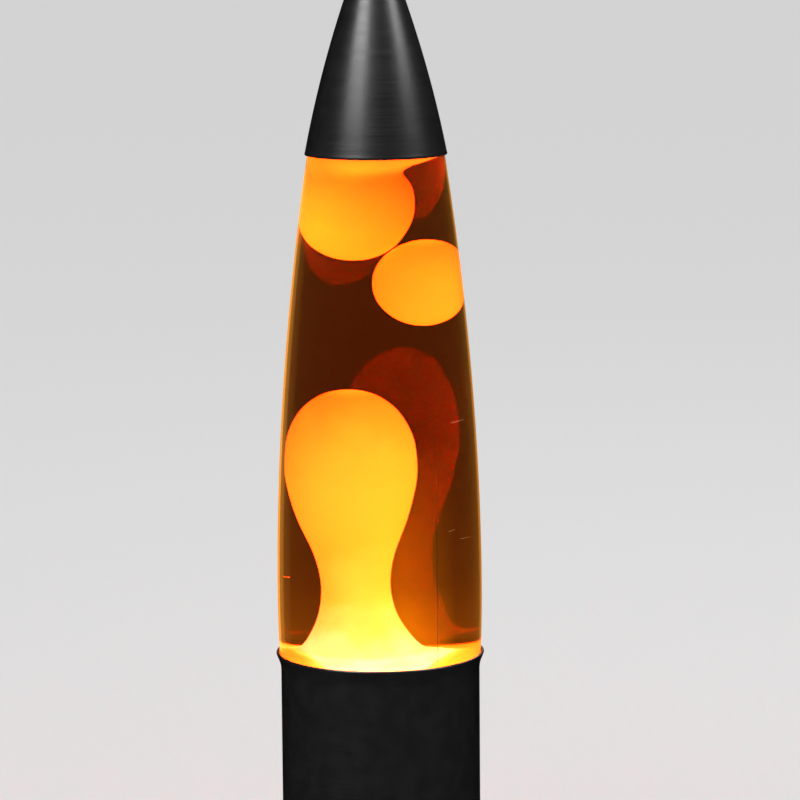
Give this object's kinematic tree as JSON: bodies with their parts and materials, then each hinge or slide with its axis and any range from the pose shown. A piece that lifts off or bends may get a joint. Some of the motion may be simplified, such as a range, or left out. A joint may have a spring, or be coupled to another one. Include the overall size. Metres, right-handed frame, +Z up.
{
  "type": "lava lamp",
  "caption": "Table lamp whose metal base heats a clear bottle of dark liquid, so that glowing wax rises in a column and drifting blobs under a tall cone cap.",
  "frame": {"origin": "centre of the footprint, on the surface that the lamp stands on", "axes": "+Z up along the bottle's axis, +Y towards the back, where the cord enters, -Y towards the front, +X to the right seen from the front"},
  "size_m": [0.092, 0.092, 0.368],
  "materials": {
    "black_metal": "satin black over spun metal",
    "plate_metal": "satin black",
    "zinc_steel": "zinc plated",
    "foot_rubber": "matt",
    "grommet_plastic": "matt moulded",
    "gasket_silicone": "matt silicone",
    "holder_plastic": "moulded phenolic",
    "holder_brass": "stamped",
    "bulb_glass": "clear dome over a silvered cone",
    "bulb_metal": "rolled thread",
    "insulator_glass": "glossy black glass",
    "solder": "soldered",
    "stem_glass": "clear",
    "filament_metal": "drawn wire",
    "bottle_glass": "clear, polished",
    "liquid": "clear dyed liquid",
    "wax": "soft translucent wax, lit from below",
    "coil_steel": "spring wire",
    "crown_tin": "gold lacquer",
    "liner_plastic": "soft sealing disc"
  },
  "bodies": {
    "base": {"base_shell": "black_metal", "bottom_plate": "plate_metal", "plate_screws": "zinc_steel", "rubber_feet": "foot_rubber", "cord_inlet": "grommet_plastic", "bottle_seat": "zinc_steel", "seat_gasket": "gasket_silicone", "holder_bracket": "zinc_steel", "bracket_screws": "zinc_steel", "holder_body": "holder_plastic", "holder_screw_shell": "holder_brass", "holder_contact": "holder_brass", "terminal_screws": "holder_brass"},
    "bulb": {"bulb_glass": "bulb_glass", "bulb_screw_shell": "bulb_metal", "bulb_insulator": "insulator_glass", "bulb_contact": "solder", "bulb_stem": "stem_glass", "bulb_filament": "filament_metal"},
    "bottle": {"bottle_glass": "bottle_glass", "bottle_liquid": "liquid", "heat_coil": "coil_steel", "wax_column": "wax", "wax_top_mass": "wax", "crown_cap": "crown_tin", "crown_liner": "liner_plastic"},
    "round_blob": {"wax_round_blob": "wax"},
    "top_blob": {"wax_top_blob": "wax"},
    "cap": {"top_cap": "black_metal"}
  },
  "joints": [
    {"name": "bottle_lift", "type": "slide", "parent": "base", "child": "bottle", "axis": [0, 0, 1], "range_m": [0, 0.12]},
    {"name": "cap_lift", "type": "slide", "parent": "bottle", "child": "cap", "axis": [0, 0, 1], "range_m": [0, 0.08]},
    {"name": "bulb_turn", "type": "hinge", "parent": "base", "child": "bulb", "pos_m": [0, 0, 0.03], "axis": [0, 0, 1], "range_deg": [0, 1080]},
    {"name": "round_blob_drift", "type": "slide", "parent": "bottle", "child": "round_blob", "axis": [0, 0, 1], "range_m": [-0.02, 0]},
    {"name": "top_blob_drift", "type": "slide", "parent": "bottle", "child": "top_blob", "axis": [0, 0, 1], "range_m": [-0.02, 0]}
  ],
  "couplings": [
    {"joint": "top_blob_drift", "follows": "round_blob_drift", "ratio": 1}
  ]
}
